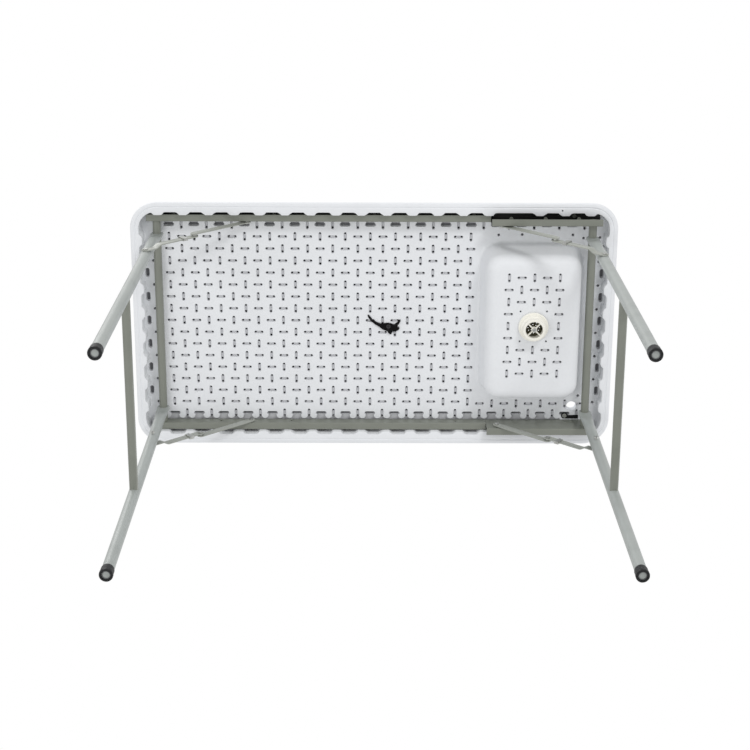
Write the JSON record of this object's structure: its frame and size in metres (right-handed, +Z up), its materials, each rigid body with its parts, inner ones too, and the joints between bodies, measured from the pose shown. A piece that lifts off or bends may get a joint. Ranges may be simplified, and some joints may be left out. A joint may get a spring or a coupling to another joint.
{
  "type": "folding table",
  "caption": "Folding utility table: a moulded top with an integral sink basin, drain and faucet hole, on steel rails and two hinged tubular leg frames with folding braces.",
  "frame": {"origin": "on the floor, under the centre of the table top", "axes": "+X along the table to the basin end, +Y across it to the rear edge with the faucet hole, +Z up"},
  "size_m": [1.14, 0.602, 0.932],
  "materials": {
    "moulded_top": "satin moulded plastic with a fine grain",
    "drain_plastic": "semi-gloss",
    "painted_steel": "semi-gloss powder coat",
    "leg_paint": "semi-gloss powder coat",
    "link_steel": "semi-gloss powder coat",
    "zinc_steel": "zinc plated",
    "seal_rubber": "matte",
    "strap_webbing": "woven",
    "black_plastic": "moulded"
  },
  "bodies": {
    "top": {"table_top": "moulded_top", "top_underside": "moulded_top", "top_skirt": "moulded_top", "sink_basin": "moulded_top", "side_rail_front": "painted_steel", "side_rail_rear": "painted_steel", "drop_channel_front": "painted_steel", "drop_channel_rear": "painted_steel", "rail_screws_front": "zinc_steel", "rail_screws_rear": "zinc_steel", "channel_screws": "zinc_steel", "rail_rivets": "zinc_steel", "sink_strainer": "drain_plastic", "drain_gasket": "seal_rubber", "drain_body": "drain_plastic", "drain_screw": "zinc_steel", "leg_strap": "strap_webbing", "strap_screw": "zinc_steel", "corner_clip": "black_plastic", "corner_clip_screw": "zinc_steel"},
    "left_frame": {"left_cross_tube": "painted_steel", "left_crossbar": "painted_steel", "left_leg_rivets": "zinc_steel", "left_leg_front": "leg_paint", "left_leg_rear": "leg_paint", "left_foot_front": "black_plastic", "left_foot_rear": "black_plastic"},
    "right_frame": {"right_cross_tube": "painted_steel", "right_crossbar": "painted_steel", "right_leg_rivets": "zinc_steel", "right_leg_front": "leg_paint", "right_leg_rear": "leg_paint", "right_foot_front": "black_plastic", "right_foot_rear": "black_plastic"},
    "left_front_upper_link": {"left_front_rail_link": "link_steel"},
    "left_front_lower_link": {"left_front_leg_link": "link_steel", "left_front_mid_rivet": "zinc_steel"},
    "left_front_ring": {"left_front_lock_ring": "zinc_steel"},
    "left_rear_upper_link": {"left_rear_rail_link": "link_steel"},
    "left_rear_lower_link": {"left_rear_leg_link": "link_steel", "left_rear_mid_rivet": "zinc_steel"},
    "left_rear_ring": {"left_rear_lock_ring": "zinc_steel"},
    "right_front_upper_link": {"right_front_rail_link": "link_steel"},
    "right_front_lower_link": {"right_front_leg_link": "link_steel", "right_front_mid_rivet": "zinc_steel"},
    "right_front_ring": {"right_front_lock_ring": "zinc_steel"},
    "right_rear_upper_link": {"right_rear_rail_link": "link_steel"},
    "right_rear_lower_link": {"right_rear_leg_link": "link_steel", "right_rear_mid_rivet": "zinc_steel"},
    "right_rear_ring": {"right_rear_lock_ring": "zinc_steel"}
  },
  "joints": [
    {"name": "left_fold", "type": "hinge", "parent": "top", "child": "left_frame", "pos_m": [-0.51, 0, 0.892], "axis": [0, -1, 0], "range_deg": [0, 91.35]},
    {"name": "right_fold", "type": "hinge", "parent": "top", "child": "right_frame", "pos_m": [0.51, 0, 0.865], "axis": [0, 1, 0], "range_deg": [0, 91.35]},
    {"name": "left_front_rail_pivot", "type": "hinge", "parent": "top", "child": "left_front_upper_link", "pos_m": [-0.298, -0.2482, 0.889], "axis": [0, -1, 0], "range_deg": [-42.37, 0]},
    {"name": "left_front_leg_pivot", "type": "hinge", "parent": "left_frame", "child": "left_front_lower_link", "pos_m": [-0.51461, -0.2357, 0.69605], "axis": [0, -1, 0], "range_deg": [0, 47.67]},
    {"name": "left_front_ring_slide", "type": "slide", "parent": "left_front_lower_link", "child": "left_front_ring", "axis": [0.7467, 0, 0.6651], "range_m": [-0.035, 0]},
    {"name": "left_rear_rail_pivot", "type": "hinge", "parent": "top", "child": "left_rear_upper_link", "pos_m": [-0.298, 0.2482, 0.889], "axis": [0, -1, 0], "range_deg": [-42.37, 0]},
    {"name": "left_rear_leg_pivot", "type": "hinge", "parent": "left_frame", "child": "left_rear_lower_link", "pos_m": [-0.51461, 0.2357, 0.69605], "axis": [0, -1, 0], "range_deg": [0, 47.67]},
    {"name": "left_rear_ring_slide", "type": "slide", "parent": "left_rear_lower_link", "child": "left_rear_ring", "axis": [0.7467, 0, 0.6651], "range_m": [-0.035, 0]},
    {"name": "right_front_rail_pivot", "type": "hinge", "parent": "top", "child": "right_front_upper_link", "pos_m": [0.298, -0.2482, 0.862], "axis": [0, 1, 0], "range_deg": [-42.37, 0]},
    {"name": "right_front_leg_pivot", "type": "hinge", "parent": "right_frame", "child": "right_front_lower_link", "pos_m": [0.51461, -0.2357, 0.66905], "axis": [0, 1, 0], "range_deg": [0, 47.67]},
    {"name": "right_front_ring_slide", "type": "slide", "parent": "right_front_lower_link", "child": "right_front_ring", "axis": [-0.7467, 0, 0.6651], "range_m": [-0.035, 0]},
    {"name": "right_rear_rail_pivot", "type": "hinge", "parent": "top", "child": "right_rear_upper_link", "pos_m": [0.298, 0.2482, 0.862], "axis": [0, 1, 0], "range_deg": [-42.37, 0]},
    {"name": "right_rear_leg_pivot", "type": "hinge", "parent": "right_frame", "child": "right_rear_lower_link", "pos_m": [0.51461, 0.2357, 0.66905], "axis": [0, 1, 0], "range_deg": [0, 47.67]},
    {"name": "right_rear_ring_slide", "type": "slide", "parent": "right_rear_lower_link", "child": "right_rear_ring", "axis": [-0.7467, 0, 0.6651], "range_m": [-0.035, 0]}
  ],
  "couplings": [
    {"joint": "left_front_rail_pivot", "follows": "left_fold", "ratio": -0.46273},
    {"joint": "left_front_leg_pivot", "follows": "left_fold", "ratio": 0.52074},
    {"joint": "left_rear_rail_pivot", "follows": "left_fold", "ratio": -0.46273},
    {"joint": "left_rear_leg_pivot", "follows": "left_fold", "ratio": 0.52074},
    {"joint": "right_front_rail_pivot", "follows": "right_fold", "ratio": -0.46273},
    {"joint": "right_front_leg_pivot", "follows": "right_fold", "ratio": 0.52074},
    {"joint": "right_rear_rail_pivot", "follows": "right_fold", "ratio": -0.46273},
    {"joint": "right_rear_leg_pivot", "follows": "right_fold", "ratio": 0.52074}
  ]
}
